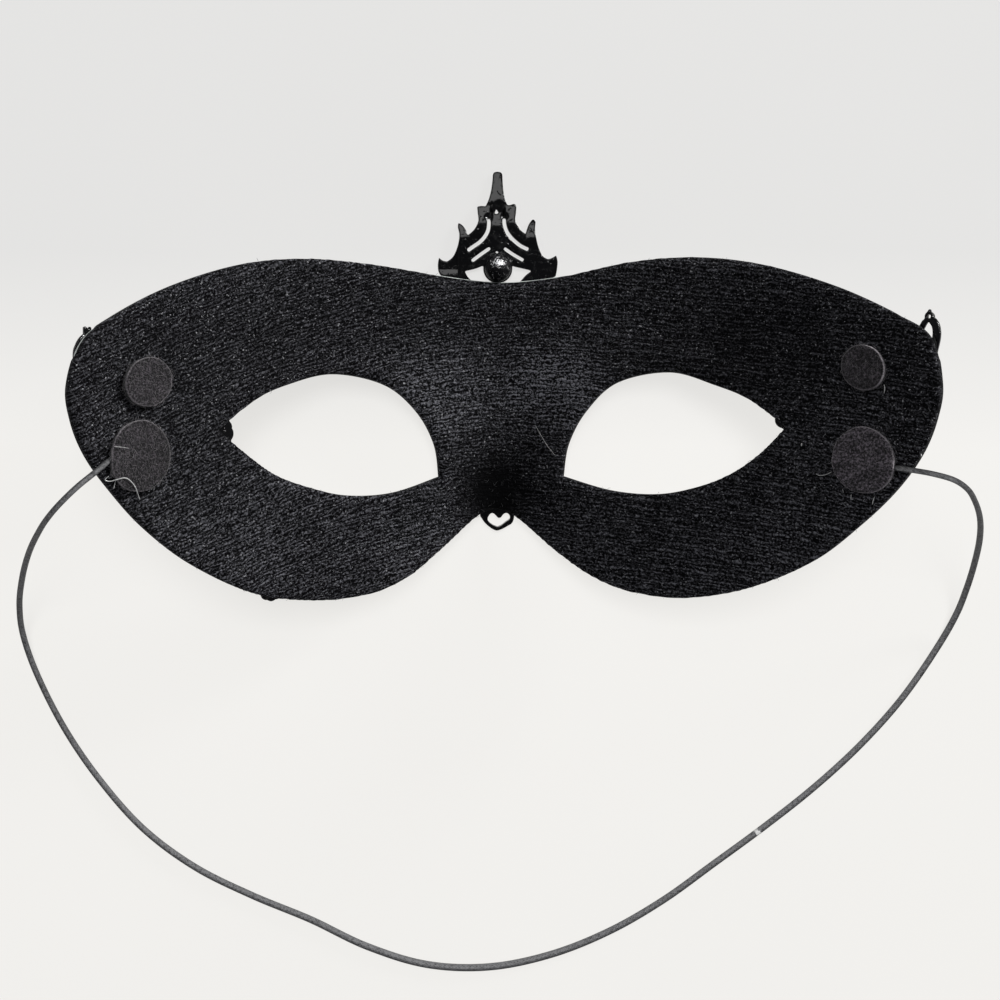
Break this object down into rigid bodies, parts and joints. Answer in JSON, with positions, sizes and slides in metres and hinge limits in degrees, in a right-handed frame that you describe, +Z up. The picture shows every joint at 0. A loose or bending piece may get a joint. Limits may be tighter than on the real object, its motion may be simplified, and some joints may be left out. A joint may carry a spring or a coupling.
{
  "type": "masquerade mask",
  "caption": "Eye mask with a knit-lined moulded shell, openwork cast filigree with a crest over the nose, and an elastic head cord under felt discs.",
  "frame": {"origin": "centre of the mask's footprint on the surface it lies on, without the cord", "axes": "+X across the mask to the right and +Y towards the crest, both seen from the lined side; +Z up, from the front of the mask towards the wearer"},
  "size_m": [0.1965, 0.1703, 0.0447],
  "materials": {
    "shell": "satin",
    "ribbed_knit": "matte ribbed knit",
    "felt": "matte felt",
    "black_enamel": "glossy black enamel on cast metal",
    "black_bead": "polished",
    "elastic": "braided over rubber, slight sheen"
  },
  "bodies": {
    "root": {"mask_shell": "shell", "lining": "ribbed_knit", "felt_disc_small_left": "felt", "felt_disc_small_right": "felt", "felt_disc_large_left": "felt", "felt_disc_large_right": "felt", "centre_filigree": "black_enamel", "crest_bead": "black_bead", "side_filigree_right": "black_enamel", "side_filigree_left": "black_enamel", "elastic_cord": "elastic"}
  },
  "joints": []
}
